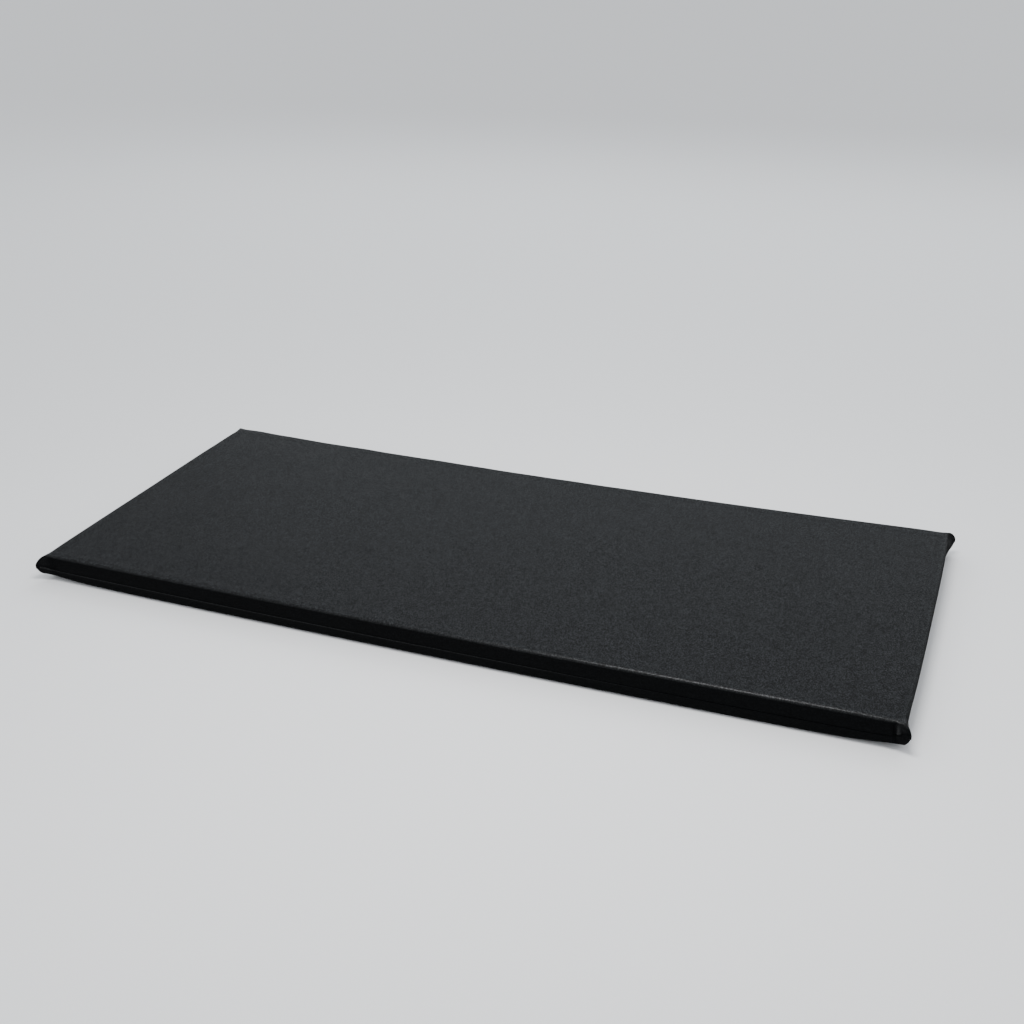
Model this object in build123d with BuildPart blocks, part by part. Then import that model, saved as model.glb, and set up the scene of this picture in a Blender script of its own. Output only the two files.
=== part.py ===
"""Slim floor mattress: a foam-filled pad in a two-panel zip-off cover, with a seam round its walls.

Frame: X along the length, Y across the width, Z up. The origin is under the pad's centre, on the floor.
The zip is in the wall at +X, and its slider is parked at the -Y end of the zip.
All sizes are in millimetres.
"""

from build123d import *
import os

# ---- The pad as a whole ----
pad_length = 1850.0  # wall to wall, without the corner ears
pad_width = 800.0
pad_height = 60.0
plan_radius = 18.0  # corners of the pad, seen from above
top_roll = 12.0  # the cover's roll over the upper edges
bottom_roll = 9.0
seam_height = 26.0  # the seam that joins the two panels, above the floor
ply_gap = 0.1  # air between two layers that lie on each other

# ---- The cover ----
cover_thickness = 0.8
seam_gap = 0.2  # between the two panels, at the seam
seam_allowance = 10.0
ear_run = 30.0  # where the wall starts to flare into the ear, from the corner
ear_reach = 17.5  # how far the ear's tip, before it is rounded, stands out beyond each wall
ear_rise = 14.0  # from the seam up to the ear's tip
ear_foot_reach = 10.0  # how far the ear stands out at the seam
ear_tip_radius = 4.0
ear_root_run = 20.0  # the ear's root, up or down inside the corner, where it has died out
ear_root_tuck = 6.0
ear_root_cover = 1.0
ear_root_drop = 8.0  # from a lying face to the root

# ---- Sewing thread ----
thread_layer = 0.3  # how thick a laid thread is
overlock_width = 5.0
lockstitch_width = 0.6
lockstitch_drop = 2.0  # from the seam to the stitch line
stitch_pitch = 5.0
stitch_length = 3.8
stitch_width = 0.6
topstitch_margin = 2.5  # from the folded edge beside the zip to its stitch line
bartack_width = 2.0
bartack_overlap = 3.0  # how far a bartack reaches onto each panel

# ---- The filling ----
casing_thickness = 0.4
casing_clearance = 0.2  # from the casing to the layers inside the cover's walls
batting_thickness = 6.0
comfort_thickness = 12.0

# ---- The zip ----
zip_end_margin = 2.0  # from the ear to the end of the zip's window
zip_hem = 8.0  # fabric folded back beside the window
tape_thickness = 0.6
tape_width = 12.0
tape_slit = 2.4  # between the edges of the two tapes
tape_overrun = 4.0  # tape behind the wall beyond the window, at either end
tooth_pitch = 4.0
tooth_thickness = 2.4
tooth_reach = 3.2  # from the middle of the chain to the back of a tooth
tooth_engagement = 1.0  # how far a tooth's head crosses the middle
tooth_shoulder = 0.4
tooth_base_width = 2.4
tooth_neck_width = 1.2
tooth_head_width = 1.9
stop_length = 2.4
stop_width = 2.4
stop_clearance = 0.3
bartack_gap = 1.0  # from a bartack to the zip's stops
slider_length = 12.0
slider_flange = 1.0
slider_plate = 1.3
slider_corner = 0.8
chain_clearance = 0.25  # from a tooth's face to the slider's plate
channel_clearance = 0.6  # from a tooth's back to the slider's flange
tape_clearance = 0.35  # from the tape to the lips of the flanges
window_clearance = 0.6  # from the slider to the folded edges of the cover
back_clearance = 0.3  # from the slider's rear plate to the filling
diamond_clearance = 0.2  # from the slider's wedge to either tape
diamond_length = 3.0
diamond_setback = 1.0  # from the slider's mouth to its wedge
bar_radius = 0.6
bar_clearance = 0.15
bridge_height = 2.2  # from the front plate to the middle of the bar
bridge_span = 5.4  # clear length of the bar
bridge_post = 1.2
bridge_width = 2.0
eye_wall = 0.8
neck_clearance = 0.4  # from the pull tab's neck to the bridge's posts
tab_drop = 20.0  # from the bar to the tab's lower end
tab_shoulder = 3.2  # from the bar to where the tab widens
tab_width = 7.0
tab_thickness = 1.4
tab_corner = 1.6
tab_slot_length = 7.0
tab_slot_width = 2.6
tab_slot_margin = 3.0  # from the slot to the tab's lower end

# ---- Depths inward from a wall's outer face ----
overlock_depth = cover_thickness + ply_gap
lower_allowance_depth = overlock_depth + thread_layer + ply_gap
upper_allowance_depth = lower_allowance_depth + cover_thickness + ply_gap
inner_thread_depth = upper_allowance_depth + cover_thickness + ply_gap
casing_depth = inner_thread_depth + thread_layer + casing_clearance
hem_depth = cover_thickness + ply_gap
tape_depth = hem_depth + cover_thickness + ply_gap
chain_depth = tape_depth + tape_thickness / 2

# ---- Sizes that follow ----
channel_height = tooth_thickness + 2 * chain_clearance
slider_thickness = channel_height + 2 * slider_plate
channel_width = 2 * (tooth_reach + channel_clearance)
slider_width = channel_width + 2 * slider_flange
window_height = slider_width + 2 * window_clearance
window_half = pad_width / 2 - ear_run - zip_end_margin
zip_end_depth = chain_depth + slider_thickness / 2 + back_clearance

top_stop_y = -window_half + bartack_width + bartack_gap
slider_y = top_stop_y + stop_length + stop_clearance + slider_length / 2
bottom_stop_y = window_half - bartack_width - bartack_gap - stop_length
slider_travel = bottom_stop_y - stop_clearance - slider_length / 2 - slider_y
diamond_y = slider_y - slider_length / 2 + diamond_setback + diamond_length / 2
first_tooth_y = diamond_y + diamond_length / 2 + tooth_base_width
tooth_count = int((bottom_stop_y - first_tooth_y) / tooth_pitch)
stitch_count = int(2 * (window_half - bartack_width) / stitch_pitch)

chain_x = pad_length / 2 - chain_depth
plate_face_x = chain_x + slider_thickness / 2
bar_x = plate_face_x + bridge_height
pin_hole_radius = bar_radius + bar_clearance
neck_width = bridge_span - 2 * neck_clearance

casing_floor = cover_thickness + ply_gap
casing_height = pad_height - 2 * casing_floor
casing_length = pad_length - casing_depth - zip_end_depth
casing_width = pad_width - 2 * casing_depth
casing_x = (casing_depth - zip_end_depth) / 2
core_floor = casing_floor + casing_thickness + ply_gap + batting_thickness + ply_gap
comfort_ceiling = pad_height - core_floor
core_ceiling = comfort_ceiling - comfort_thickness - ply_gap

straight_runs = {
    "front": pad_length - 2 * ear_run,
    "back": pad_length - 2 * ear_run,
    "left": pad_width - 2 * ear_run,
}
inward_ways = {"front": (0, 1, 0), "back": (0, -1, 0), "left": (1, 0, 0), "right": (-1, 0, 0)}
low_corner = (Align.MIN, Align.MIN)

os.makedirs("parts", exist_ok=True)

# The wall of the zip, seen from outside: local x is Y, local y the height above the seam.
zip_wall = Plane(origin=(pad_length / 2, 0, seam_height), x_dir=(0, 1, 0), z_dir=(1, 0, 0))
chain_back = zip_wall.offset(-chain_depth - tooth_thickness / 2)
# Across the zip, at the slider and at its bar: local x is the depth inward, local y the height.
slider_section = Plane(origin=(chain_x, slider_y, seam_height), x_dir=(-1, 0, 0), z_dir=(0, 1, 0))
bar_section = Plane(origin=(bar_x, slider_y, seam_height), x_dir=(-1, 0, 0), z_dir=(0, 1, 0))


def finish(piece, name):
    """Name a finished piece and write it as the node of that name."""
    piece.part.label = name
    export_step(piece.part, f"parts/{name}.step")


# ---- Shapes that several pieces share ----


def wall_section(side):
    """The plane across a wall: local x is the depth inward, local y the height above the seam."""
    inward = Vector(*inward_ways[side])
    reach = pad_width / 2 if side in ("front", "back") else pad_length / 2
    origin = Vector(0, 0, seam_height) - inward * reach
    return Plane(origin=origin, x_dir=inward, z_dir=inward.cross(Vector(0, 0, 1)))


def wall_strip(side, depth, height, thickness, tall, run, mode=Mode.ADD):
    """A straight strip along a wall, given by its depth and height there and its own section."""
    with BuildSketch(wall_section(side)) as strip:
        with Locations((depth, height)):
            Rectangle(thickness, tall, align=low_corner)
    extrude(strip.sketch, amount=run / 2, both=True, mode=mode)


def ear_plan(plane, run, reach, cover, inset):
    """The ear seen from above in the +X +Y corner: a kite from the two walls out to the tip."""
    corner_x = pad_length / 2
    corner_y = pad_width / 2
    with BuildSketch(plane) as kite:
        with BuildLine():
            Polyline(
                (corner_x - ear_run, corner_y - ear_run),
                (corner_x - cover, corner_y - run),
                (corner_x + reach, corner_y + reach),
                (corner_x - run, corner_y - cover),
                close=True,
            )
        make_face()
        tip = kite.vertices().sort_by(Axis((0, 0, 0), (1, 1, 0)))[-1]
        fillet(tip, ear_tip_radius)
        if inset > 0:
            offset(amount=-inset, kind=Kind.INTERSECTION, mode=Mode.REPLACE)
    return kite.sketch


def corner_ear(way, height, inset):
    """The ear above (way 1) or below (way -1) the seam: it dies out in the corner, at its root."""
    root_plane = Plane.XY.offset(seam_height + way * (height - ear_root_drop))
    sections = [ear_plan(Plane.XY.offset(seam_height), ear_run, ear_foot_reach, 0, inset)]
    if way > 0:
        brim_plane = Plane.XY.offset(seam_height + ear_rise)
        sections.append(ear_plan(brim_plane, ear_run, ear_reach, 0, inset))
    sections.append(ear_plan(root_plane, ear_root_run, -ear_root_tuck, ear_root_cover, inset))
    with BuildPart() as ear:
        loft(sections, ruled=True)
    return ear.part


def half_cushion(way, height, roll, inset):
    """The cushion from the seam up (way 1) or down (way -1) to a lying face, inset from its skin."""
    ear = corner_ear(way, height, inset)
    with BuildPart() as half:
        with BuildSketch(Plane.XY.offset(seam_height)):
            RectangleRounded(pad_length - 2 * inset, pad_width - 2 * inset, plan_radius - inset)
        extrude(amount=way * (height - inset))
        lying_face = half.faces().sort_by(Axis((0, 0, 0), (0, 0, way)))[-1]
        fillet(lying_face.edges(), roll - inset)
        add(ear)
        mirror(ear, about=Plane.XZ)
        mirror(ear, about=Plane.YZ)
        add(ear.rotate(Axis.Z, 180))
    return half.part


def filling_block(inset):
    """The block that the cover holds, inset from the casing's outer face."""
    with BuildPart() as block:
        with BuildSketch(Plane.XY.offset(casing_floor + inset)):
            with Locations((casing_x, 0)):
                RectangleRounded(casing_length - 2 * inset, casing_width - 2 * inset, plan_radius - inset)
        extrude(amount=casing_height - 2 * inset)
        levels = block.faces().sort_by(Axis.Z)
        fillet(levels[-1].edges(), top_roll - casing_floor - inset)
        fillet(block.faces().sort_by(Axis.Z)[0].edges(), bottom_roll - casing_floor - inset)
    return block.part


def keep_between(floor, ceiling):
    """Cut the piece being built to the height from floor to ceiling."""
    split(bisect_by=Plane.XY.offset(floor), keep=Keep.TOP)
    split(bisect_by=Plane.XY.offset(ceiling), keep=Keep.BOTTOM)


# ---- The cover: two panels of coated fabric ----

upper_height = pad_height - seam_height
top_skin = half_cushion(1, upper_height, top_roll, 0)
top_hollow = half_cushion(1, upper_height, top_roll, cover_thickness)
with BuildPart() as top_panel:
    add(top_skin)
    add(top_hollow, mode=Mode.SUBTRACT)
    split(bisect_by=Plane.XY.offset(seam_height + seam_gap / 2), keep=Keep.TOP)
    for side, run in straight_runs.items():
        web = upper_allowance_depth + cover_thickness
        hang = seam_allowance + seam_gap / 2 + cover_thickness
        wall_strip(side, 0, seam_gap / 2, web, cover_thickness, run)
        wall_strip(side, upper_allowance_depth, -seam_allowance, cover_thickness, hang, run)
    wall_strip("right", -1, -1, zip_end_depth, window_height / 2 + 1, 2 * window_half, Mode.SUBTRACT)
    wall_strip("right", 0, window_height / 2, hem_depth, cover_thickness, 2 * window_half)
    wall_strip("right", hem_depth, window_height / 2, cover_thickness, zip_hem, 2 * window_half)
finish(top_panel, "cover_top_panel")

bottom_skin = half_cushion(-1, seam_height, bottom_roll, 0)
bottom_hollow = half_cushion(-1, seam_height, bottom_roll, cover_thickness)
with BuildPart() as bottom_panel:
    add(bottom_skin)
    add(bottom_hollow, mode=Mode.SUBTRACT)
    split(bisect_by=Plane.XY.offset(seam_height - seam_gap / 2), keep=Keep.BOTTOM)
    for side, run in straight_runs.items():
        web = lower_allowance_depth + cover_thickness
        web_floor = -seam_gap / 2 - cover_thickness
        hang = seam_allowance - seam_gap / 2
        wall_strip(side, 0, web_floor, web, cover_thickness, run)
        wall_strip(side, lower_allowance_depth, -seam_allowance, cover_thickness, hang, run)
    window_floor = -window_height / 2
    wall_strip("right", -1, window_floor, zip_end_depth, window_height, 2 * window_half, Mode.SUBTRACT)
    wall_strip("right", 0, window_floor - cover_thickness, hem_depth, cover_thickness, 2 * window_half)
    wall_strip("right", hem_depth, window_floor - zip_hem, cover_thickness, zip_hem, 2 * window_half)
finish(bottom_panel, "cover_bottom_panel")


# ---- The thread in the seam: a lockstitch through both allowances, and their overlocked edges ----

for side, run in straight_runs.items():
    with BuildPart() as lockstitch:
        line = -lockstitch_drop - cover_thickness
        wall_strip(side, inner_thread_depth, line, thread_layer, lockstitch_width, run)
        wall_strip(side, overlock_depth, line, thread_layer, lockstitch_width, run)
    finish(lockstitch, f"seam_thread_{side}")

    with BuildPart() as overlock:
        across = inner_thread_depth + thread_layer - overlock_depth
        foot = -seam_allowance - ply_gap - thread_layer
        inside = inner_thread_depth - overlock_depth - thread_layer
        wall_strip(side, overlock_depth, foot, across, overlock_width, run)
        wall_strip(
            side,
            overlock_depth + thread_layer,
            foot + thread_layer,
            inside,
            overlock_width,
            run,
            Mode.SUBTRACT,
        )
    finish(overlock, f"seam_overlock_{side}")


# ---- The inner casing and the layers that it holds ----

casing_skin = filling_block(0)
casing_hollow = filling_block(casing_thickness)
middle = pad_height / 2
for name, floor, ceiling in (
    ("inner_casing_top", middle + seam_gap / 2, pad_height),
    ("inner_casing_bottom", 0, middle - seam_gap / 2),
):
    with BuildPart() as casing:
        add(casing_skin)
        add(casing_hollow, mode=Mode.SUBTRACT)
        keep_between(floor, ceiling)
    finish(casing, name)

filling = filling_block(casing_thickness + ply_gap)
for name, floor, ceiling in (
    ("batting_bottom", 0, core_floor - ply_gap),
    ("foam_core", core_floor, core_ceiling),
    ("foam_comfort_layer", core_ceiling + ply_gap, comfort_ceiling),
    ("batting_top", comfort_ceiling + ply_gap, pad_height),
):
    with BuildPart() as layer:
        add(filling)
        keep_between(floor, ceiling)
    finish(layer, name)


# ---- The zip's tapes, teeth and stops ----


def tooth_outline(way):
    """A tooth from its flat back over the waist to its head, which crosses the middle of the chain."""
    one_side = [
        (tooth_base_width / 2, way * tooth_reach),
        (tooth_base_width / 2, way * (tape_slit / 2 + tooth_shoulder)),
        (tooth_neck_width / 2, way * tape_slit / 2),
        (tooth_head_width / 2, -way * tooth_engagement / 2),
        (tooth_head_width / 2, -way * tooth_engagement),
    ]
    return one_side + [(-across, level) for across, level in reversed(one_side)]


tape_run = 2 * (window_half + tape_overrun)
for name, level in (
    ("zip_tape_upper", tape_slit / 2),
    ("zip_tape_lower", -tape_slit / 2 - tape_width),
):
    with BuildPart() as tape:
        wall_strip("right", tape_depth, level, tape_thickness, tape_width, tape_run)
    finish(tape, name)

for name, way, start in (("zip_teeth_upper", 1, 0), ("zip_teeth_lower", -1, tooth_pitch / 2)):
    with BuildPart() as teeth:
        with BuildSketch(chain_back):
            row_middle = first_tooth_y + start + (tooth_count - 1) * tooth_pitch / 2
            with Locations((row_middle, 0)):
                with GridLocations(tooth_pitch, 0, tooth_count, 1):
                    Polygon(*tooth_outline(way), align=None)
        extrude(amount=tooth_thickness)
    finish(teeth, name)

with BuildPart() as top_stops:
    with BuildSketch(chain_back):
        for way in (1, -1):
            level = way * (tape_slit / 2 + stop_width / 2)
            with Locations((top_stop_y + stop_length / 2, level)):
                Rectangle(stop_length, stop_width)
    extrude(amount=tooth_thickness)
finish(top_stops, "zip_top_stops")

with BuildPart() as bottom_stop:
    with BuildSketch(chain_back):
        with Locations((bottom_stop_y + stop_length / 2, 0)):
            Rectangle(stop_length, 2 * tooth_reach)
    extrude(amount=tooth_thickness)
finish(bottom_stop, "zip_bottom_stop")


# ---- The zip's slider, its bridge and its pull tab ----

with BuildPart() as slider:
    with BuildSketch(slider_section):
        Rectangle(slider_thickness, slider_width)
        Rectangle(channel_height, channel_width, mode=Mode.SUBTRACT)
        Rectangle(tape_thickness + 2 * tape_clearance, slider_width, mode=Mode.SUBTRACT)
    extrude(amount=slider_length / 2, both=True)
    by_height = slider.edges().filter_by(Axis.X).group_by(Axis.Z)
    fillet(by_height[0] + by_height[-1], slider_corner)
    with BuildSketch(zip_wall.offset(-chain_depth)):
        with Locations((diamond_y, 0)):
            SlotOverall(diamond_length, tape_slit - 2 * diamond_clearance)
    extrude(amount=channel_height / 2, both=True)
finish(slider, "zip_slider_body")

with BuildPart() as bridge:
    post_spacing = bridge_span + bridge_post
    post_plane = Plane(origin=(plate_face_x, slider_y, seam_height), x_dir=(0, 1, 0), z_dir=(1, 0, 0))
    with BuildSketch(post_plane):
        with GridLocations(post_spacing, 0, 2, 1):
            Rectangle(bridge_post, bridge_width)
    extrude(amount=bridge_height + bar_radius)
    with BuildSketch(bar_section):
        Circle(bar_radius)
    extrude(amount=post_spacing / 2, both=True)
finish(bridge, "zip_slider_bridge")

with BuildPart() as pull_tab:
    with BuildSketch(bar_section):
        Circle(pin_hole_radius + eye_wall)
        Rectangle(tab_thickness, tab_shoulder, align=(Align.CENTER, Align.MAX))
    extrude(amount=neck_width / 2, both=True)
    blade_plane = Plane(origin=(bar_x, slider_y, seam_height), x_dir=(0, 1, 0), z_dir=(1, 0, 0))
    blade_length = tab_drop - tab_shoulder
    with BuildSketch(blade_plane):
        with Locations((0, -tab_shoulder - blade_length / 2)):
            RectangleRounded(tab_width, blade_length, tab_corner)
        with Locations((0, -tab_drop + tab_slot_margin + tab_slot_length / 2)):
            SlotOverall(tab_slot_length, tab_slot_width, rotation=90, mode=Mode.SUBTRACT)
    extrude(amount=tab_thickness / 2, both=True)
    with BuildSketch(bar_section):
        Circle(pin_hole_radius)
    extrude(amount=neck_width, both=True, mode=Mode.SUBTRACT)
finish(pull_tab, "zip_pull_tab")


# ---- The stitching that shows beside the zip ----

for name, way in (("zip_stitching_upper", 1), ("zip_stitching_lower", -1)):
    with BuildPart() as stitching:
        with BuildSketch(zip_wall):
            with Locations((0, way * (window_height / 2 + topstitch_margin))):
                with GridLocations(stitch_pitch, 0, stitch_count, 1):
                    Rectangle(stitch_length, stitch_width)
        extrude(amount=thread_layer)
    finish(stitching, name)

with BuildPart() as bartacks:
    with BuildSketch(zip_wall):
        with GridLocations(2 * window_half - bartack_width, 0, 2, 1):
            Rectangle(bartack_width, window_height + 2 * bartack_overlap)
    extrude(amount=thread_layer)
finish(bartacks, "zip_bartacks")

print("slider travel", round(slider_travel, 2))
print("slider at y", round(slider_y, 2), "bar at x", round(bar_x, 2), "teeth", tooth_count)
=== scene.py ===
# %% [markdown]
# # A slim floor mattress
# The mattress is a slab of foam in a black zip-off cover. The CAD model holds its sizes, its zip and the
# joints of the zip's slider and pull tab. This notebook loads that model as a fixed frame and gives it its
# looks: the cover as sewn cloth, the filling, the stitching, and a material for every piece.

# %% Load the frame
import math

import bmesh
import bpy
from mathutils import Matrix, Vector, noise
from mathutils.bvhtree import BVHTree
from mathutils.interpolate import poly_3d_calc


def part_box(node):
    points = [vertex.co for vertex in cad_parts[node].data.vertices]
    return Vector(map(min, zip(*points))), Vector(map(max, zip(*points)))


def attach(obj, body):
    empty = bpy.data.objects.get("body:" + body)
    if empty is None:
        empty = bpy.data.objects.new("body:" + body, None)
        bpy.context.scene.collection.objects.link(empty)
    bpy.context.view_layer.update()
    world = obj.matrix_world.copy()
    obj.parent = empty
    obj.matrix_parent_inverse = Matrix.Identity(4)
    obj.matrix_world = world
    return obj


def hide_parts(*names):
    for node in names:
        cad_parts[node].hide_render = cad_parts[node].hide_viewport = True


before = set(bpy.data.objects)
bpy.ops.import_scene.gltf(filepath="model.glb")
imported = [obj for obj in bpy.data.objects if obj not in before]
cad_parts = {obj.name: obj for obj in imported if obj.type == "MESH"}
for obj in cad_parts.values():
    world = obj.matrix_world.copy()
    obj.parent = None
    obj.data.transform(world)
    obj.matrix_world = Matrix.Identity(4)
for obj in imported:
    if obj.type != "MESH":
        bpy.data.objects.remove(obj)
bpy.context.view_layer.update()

# %% [markdown]
# ## Sizes that come from the frame
# The cover replaces two CAD panels, so its walls, seam and zip window have to be where the CAD has them.
# The stitches beside the zip lie on the end wall's outer face, and the overlocked edges lie a known depth
# behind the other walls, so those nodes give the walls. The bartacks give the window of the zip.

# %% Read the walls, the seam and the window
FOLD_DEPTH = 0.0009  # from a wall's face to the overlocked edge behind it
BARTACK_OVERLAP = 0.003  # how far a bartack reaches past the window's edge

half_length = Vector(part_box("zip_stitching_upper")[0]).x
half_width = FOLD_DEPTH - Vector(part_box("seam_overlock_front")[0]).y
top_z = Vector(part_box("cover_top_panel")[1]).z
slider_low, slider_high = (Vector(corner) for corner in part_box("zip_slider_body"))
seam_z = (slider_low.z + slider_high.z) / 2
tack_low, tack_high = (Vector(corner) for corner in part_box("zip_bartacks"))
window_half = (tack_high.y - tack_low.y) / 2
window_rise = (tack_high.z - tack_low.z) / 2 - BARTACK_OVERLAP
print("half length", round(half_length, 4), "half width", round(half_width, 4), "top", top_z, "seam", seam_z)
print("window", round(window_half, 4), round(window_rise, 4))

# %% [markdown]
# ## Camera, floor and light
# The camera stands where a standing person would hold one, a little past the mattress's zip end, and looks
# down at about 25 degrees. The floor is plain and pale, and reaches past the edge of the view. A black object
# is seen mostly by what it reflects, so the lights are large and soft, and stand above and behind it.

# %% Camera
CAMERA_PLACE = (1.0173, -2.4797, 1.4005)
CAMERA_TURN = (64.77, 0.53, 21.48)  # degrees: 90 is level, a slight roll, and the heading to the left
FOCAL_LENGTH = 47.34

camera_data = bpy.data.cameras.new("camera")
camera_data.sensor_width = 36
camera_data.lens = FOCAL_LENGTH
camera = bpy.data.objects.new("camera", camera_data)
camera.location = CAMERA_PLACE
camera.rotation_euler = [math.radians(angle) for angle in CAMERA_TURN]
bpy.context.scene.collection.objects.link(camera)
bpy.context.scene.camera = camera


# %% Floor
FLOOR_RADIUS = 60


def new_object(name, shape):
    """Make an object of a bmesh, put it in the scene and free the bmesh."""
    mesh = bpy.data.meshes.new(name)
    shape.to_mesh(mesh)
    shape.free()
    piece = bpy.data.objects.new(name, mesh)
    bpy.context.scene.collection.objects.link(piece)
    return piece


floor_shape = bmesh.new()
bmesh.ops.create_circle(floor_shape, cap_ends=True, segments=96, radius=FLOOR_RADIUS)
floor = new_object("floor", floor_shape)


# %% Lights
def soft_light(name, place, aim, size, power, colour, on_matt=1.0):
    """A rectangular area light that looks at a point; on_matt is its share in lighting matt surfaces."""
    data = bpy.data.lights.new(name, "AREA")
    data.shape = "RECTANGLE"
    data.size, data.size_y = size
    data.energy = power
    data.color = colour
    data.diffuse_factor = on_matt
    lamp = bpy.data.objects.new(name, data)
    lamp.location = place
    lamp.rotation_euler = (Vector(aim) - Vector(place)).to_track_quat("-Z", "Y").to_euler()
    bpy.context.scene.collection.objects.link(lamp)


soft_light(
    "overhead",
    place=(0.3, -0.55, 2.2),
    aim=(0.3, -0.54, 0),
    size=(1.0, 0.6),
    power=40,
    colour=(1.0, 1.0, 1.0),
    on_matt=0.3,
)
soft_light(
    "behind",
    place=(-0.35, 3.9, 3.0),
    aim=(-0.1, 0, 0),
    size=(6.2, 2.4),
    power=80,
    colour=(0.90, 0.96, 1.0),
)

world = bpy.data.worlds.new("studio")
world.use_nodes = True
sky = world.node_tree.nodes["Background"]
sky.inputs["Color"].default_value = (0.93, 0.96, 1.0, 1)
sky.inputs["Strength"].default_value = 1.0
bpy.context.scene.world = world

# %% [markdown]
# ## A short way to write shader maths
# A material here is a small calculation on numbers and colours. Written node by node it is long, so a
# `Wire` holds one output of a node, and the ordinary signs add a Math node and give back its output.


# %% The Wire
class Wire:
    """One output socket of a material's node tree."""

    def __init__(self, tree, socket):
        self.tree = tree
        self.socket = socket

    def maths(self, operation, *values):
        """A Math node on these values, in this order."""
        sum_node = self.tree.nodes.new("ShaderNodeMath")
        sum_node.operation = operation
        for place, value in zip(sum_node.inputs, values):
            connect(self.tree, value, place)
        return Wire(self.tree, sum_node.outputs[0])

    def __add__(self, other):
        return self.maths("ADD", self, other)

    def __radd__(self, other):
        return self.maths("ADD", other, self)

    def __sub__(self, other):
        return self.maths("SUBTRACT", self, other)

    def __rsub__(self, other):
        return self.maths("SUBTRACT", other, self)

    def __mul__(self, other):
        return self.maths("MULTIPLY", self, other)

    def __rmul__(self, other):
        return self.maths("MULTIPLY", other, self)

    def __truediv__(self, other):
        return self.maths("DIVIDE", self, other)

    def __rtruediv__(self, other):
        return self.maths("DIVIDE", other, self)

    def __pow__(self, other):
        return self.maths("POWER", self, other)

    def feed(self, kind, into, output=0, settings=None, **values):
        """Any other node, with this wire in its socket `into`."""
        return add_node(self.tree, kind, output, settings, **{into: self}, **values)


def connect(tree, value, socket):
    """Put a wire or a plain value on a socket."""
    if isinstance(value, Wire):
        tree.links.new(value.socket, socket)
    else:
        socket.default_value = value


def add_node(tree, kind, output=0, settings=None, **values):
    """A node with its settings and inputs, by name with underscores for spaces, as one output's wire."""
    node = tree.nodes.new(kind)
    for name, value in (settings or {}).items():
        setattr(node, name, value)
    for name, value in values.items():
        connect(tree, value, node.inputs[name.replace("_", " ")])
    return Wire(tree, node.outputs[output])


def new_material(name):
    """A material with a bare Principled shader, and its tree and shader."""
    material = bpy.data.materials.new(name)
    material.use_nodes = True
    return material, material.node_tree, material.node_tree.nodes["Principled BSDF"]


def place_of(tree, uv_map=None):
    """Where a point of the piece is: its own place in metres, or its place on a flat cloth."""
    if uv_map:
        return add_node(tree, "ShaderNodeUVMap", settings={"uv_map": uv_map})
    return add_node(tree, "ShaderNodeTexCoord", output="Object")


def split(place):
    """The three numbers of a place."""
    separate = place.tree.nodes.new("ShaderNodeSeparateXYZ")
    connect(place.tree, place, separate.inputs[0])
    return [Wire(place.tree, socket) for socket in separate.outputs]


def noise_of(place, scale, detail=2.0, roughness=0.5):
    """Soft random values round 0.5, that change over about 1/scale metres."""
    return place.feed("ShaderNodeTexNoise", "Vector", Scale=scale, Detail=detail, Roughness=roughness)


def blend_colours(amount, first, second):
    """From the first colour to the second, as amount goes from 0 to 1."""
    mix = amount.tree.nodes.new("ShaderNodeMix")
    mix.data_type = "RGBA"
    connect(amount.tree, amount, mix.inputs[0])
    connect(amount.tree, first, mix.inputs[6])
    connect(amount.tree, second, mix.inputs[7])
    return Wire(amount.tree, mix.outputs[2])


def sine(value):
    """The sine of a number."""
    return value.maths("SINE", value)


def per_cell(place, size):
    """One random value for each square cell of this size."""
    scaled = place.feed("ShaderNodeVectorMath", "Vector", settings={"operation": "DIVIDE"})
    scaled.socket.node.inputs[1].default_value = (size, size, size)
    cell = scaled.feed("ShaderNodeVectorMath", "Vector", settings={"operation": "FLOOR"})
    return cell.feed("ShaderNodeTexWhiteNoise", "Vector")


def clamp(value):
    """Keep a number between 0 and 1."""
    return value.maths("MINIMUM", value.maths("MAXIMUM", value, 0.0), 1.0)


def bump_from(height, distance, strength=1.0):
    """A bump whose height of 1 stands for this distance."""
    return height.feed("ShaderNodeBump", "Height", Distance=distance, Strength=strength)


# %% Floor material
floor_material, tree, shader = new_material("pale_floor")
shader.inputs["Base Color"].default_value = (0.86, 0.86, 0.86, 1)
shader.inputs["Roughness"].default_value = 0.9
shader.inputs["Specular IOR Level"].default_value = 0.1
floor.data.materials.append(floor_material)

# %% [markdown]
# ## The cover's cloth
# The cover is a black coated cloth with a plain weave under the coating. Its yarns cross every 1.6 mm, so
# from a standing person's eye the weave is only a fine grain, but close up the crossings show.
# The weave is drawn on the cloth's own flat pattern, so it runs over the rolled edge and down the wall.


# %% Cover cloth material
YARN_PITCH = 0.0016
WEAVE_RELIEF = 0.00035
COATING_IOR = 1.12  # low: the cloth is nearly black seen straight on, and bright at a grazing angle
COATING_ROUGHNESS = 0.35
DEEP_BLACK = (0.0005, 0.0006, 0.0007, 1)
WORN_BLACK = (0.0019, 0.0021, 0.0023, 1)
YARN_GREY = (0.0120, 0.0135, 0.0155, 1)  # the raised yarns, where the faces are rubbed


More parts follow.
